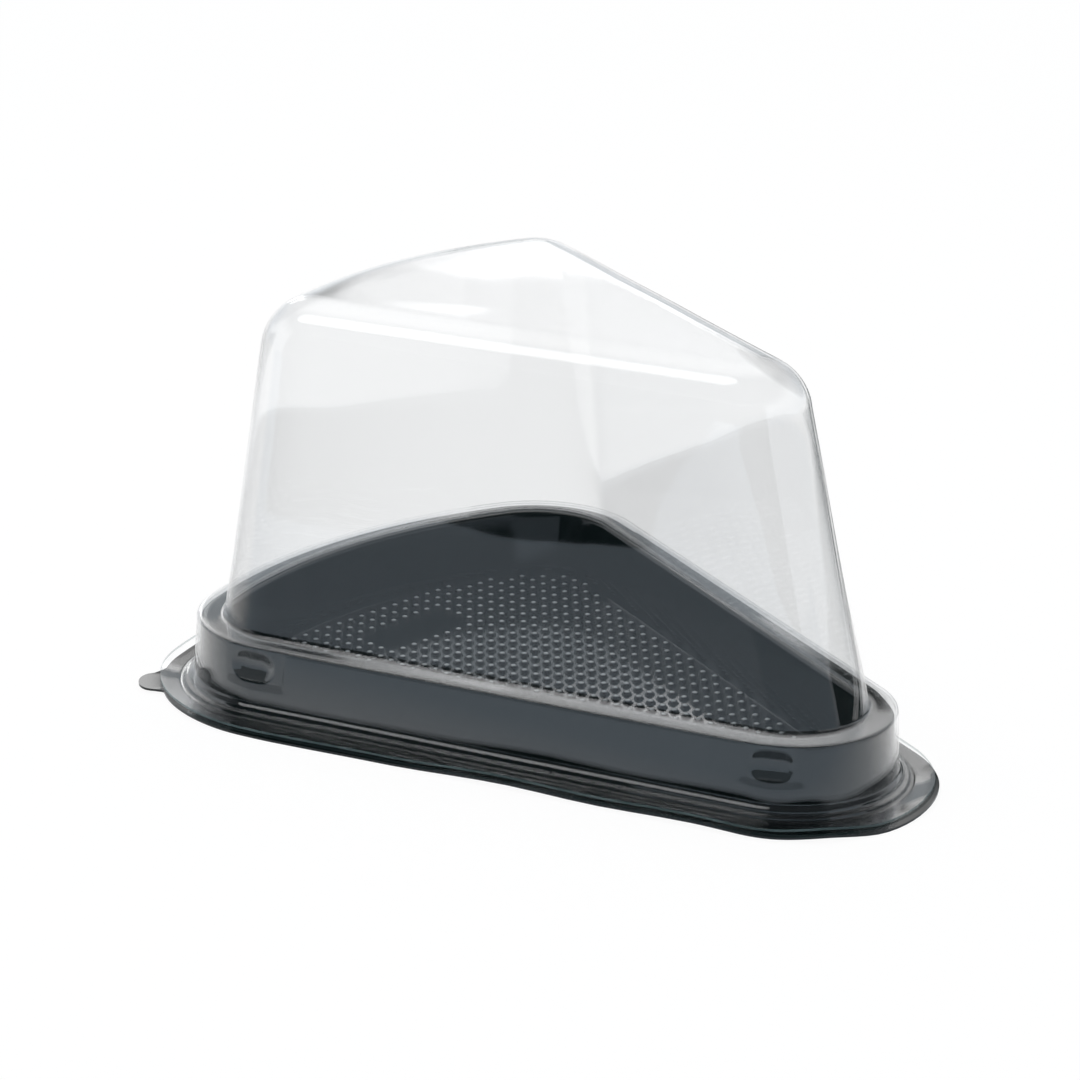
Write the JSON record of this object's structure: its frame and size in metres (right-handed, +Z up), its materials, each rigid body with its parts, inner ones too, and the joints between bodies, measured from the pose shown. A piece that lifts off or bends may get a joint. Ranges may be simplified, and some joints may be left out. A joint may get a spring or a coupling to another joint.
{
  "type": "cake slice pack",
  "caption": "Wedge-shaped pack for a slice of cake: black tray with a bumped floor and a wide flange, under a clear domed lid that lifts straight off.",
  "frame": {"origin": "middle of the closed pack's bounding box, on the table it stands on", "axes": "+Z up; +X from the curved crust side to the tip of the wedge; the side with the pull tab at its heel faces -Y"},
  "size_m": [0.1754, 0.1346, 0.0855],
  "materials": {
    "tray_black": "glossy formed sheet",
    "lid_clear": "clear glossy formed sheet"
  },
  "bodies": {
    "tray": {"base_tray": "tray_black"},
    "lid": {"dome_lid": "lid_clear"}
  },
  "joints": [
    {"name": "lid_lift", "type": "slide", "parent": "tray", "child": "lid", "axis": [0, 0, 1], "range_m": [0, 0.1]}
  ]
}
